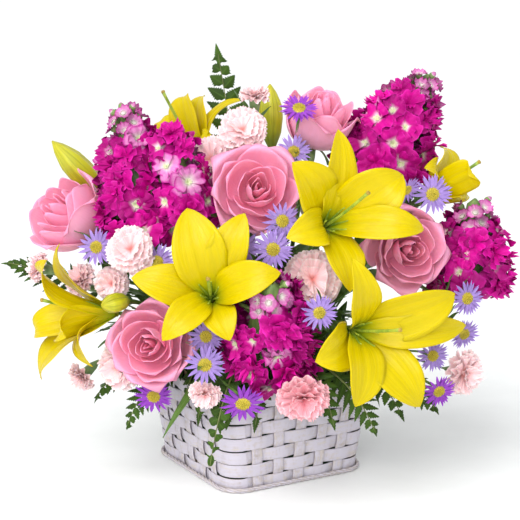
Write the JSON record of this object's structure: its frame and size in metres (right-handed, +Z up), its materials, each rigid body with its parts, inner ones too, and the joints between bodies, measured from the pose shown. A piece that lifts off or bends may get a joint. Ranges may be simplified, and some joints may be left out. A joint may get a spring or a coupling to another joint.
{
  "type": "flower basket arrangement",
  "caption": "Square woven basket with an arched handle, filled with lilies, roses, stock spikes, small carnations, asters and fern fronds standing in foam.",
  "frame": {"origin": "middle of the basket's underside", "axes": "+Z up, X and Y along the basket's sides, the handle's arch along X, the bouquet's front towards the corner between -X and -Y"},
  "size_m": [0.4016, 0.3778, 0.3696],
  "materials": {
    "basket": "white-washed chip strip",
    "cane": "white-washed cane",
    "bentwood": "plain bent strip",
    "liner": "thin moulded tub",
    "foam": "wet open-cell foam",
    "lily_petals": "satin petals, stands in for living petal",
    "lily_buds": "satin bud with its green stem",
    "rose_petals": "velvet petals, stands in for living petal",
    "stock_florets": "soft petals, stands in for living petal",
    "carnations": "soft petals with green calyx and stem",
    "asters": "rays with yellow disc and green stem",
    "stems": "smooth green stem, stands in for living stem",
    "fern": "leathery leaflets, stands in for living leaf"
  },
  "bodies": {
    "root": {"aster_middle": "asters", "asters_centre": "asters", "asters_left": "asters", "asters_lower_left": "asters", "asters_lower_right": "asters", "asters_right": "asters", "asters_top": "asters", "asters_upper_right": "asters", "basket_foot": "cane", "basket_rim": "basket", "basket_weave": "basket", "carnation_front_left": "carnations", "carnation_front_right": "carnations", "carnation_middle": "carnations", "carnation_right": "carnations", "carnations_left": "carnations", "carnations_lower_left": "carnations", "carnations_top": "carnations", "fern_back_left": "fern", "fern_back_right": "fern", "fern_left": "fern", "fern_lower_left": "fern", "fern_lower_right": "fern", "fern_over_rim": "fern", "fern_right": "fern", "fern_top": "fern", "foam": "foam", "handle": "bentwood", "lily_back": "lily_petals", "lily_back_stem": "stems", "lily_bud_left": "lily_buds", "lily_far_left": "lily_petals", "lily_far_left_stem": "stems", "lily_far_right": "lily_petals", "lily_far_right_stem": "stems", "lily_left_front": "lily_petals", "lily_left_front_stem": "stems", "lily_lower_right": "lily_petals", "lily_lower_right_stem": "stems", "lily_upper_right": "lily_petals", "lily_upper_right_stem": "stems", "liner": "liner", "rose_back": "rose_petals", "rose_back_stem": "stems", "rose_centre": "rose_petals", "rose_centre_stem": "stems", "rose_far_left": "rose_petals", "rose_far_left_stem": "stems", "rose_lower_left": "rose_petals", "rose_lower_left_stem": "stems", "rose_right": "rose_petals", "rose_right_stem": "stems", "stock_far_right": "stock_florets", "stock_far_right_stem": "stems", "stock_front": "stock_florets", "stock_front_stem": "stems", "stock_left": "stock_florets", "stock_left_stem": "stems", "stock_right": "stock_florets", "stock_right_stem": "stems"}
  },
  "joints": []
}
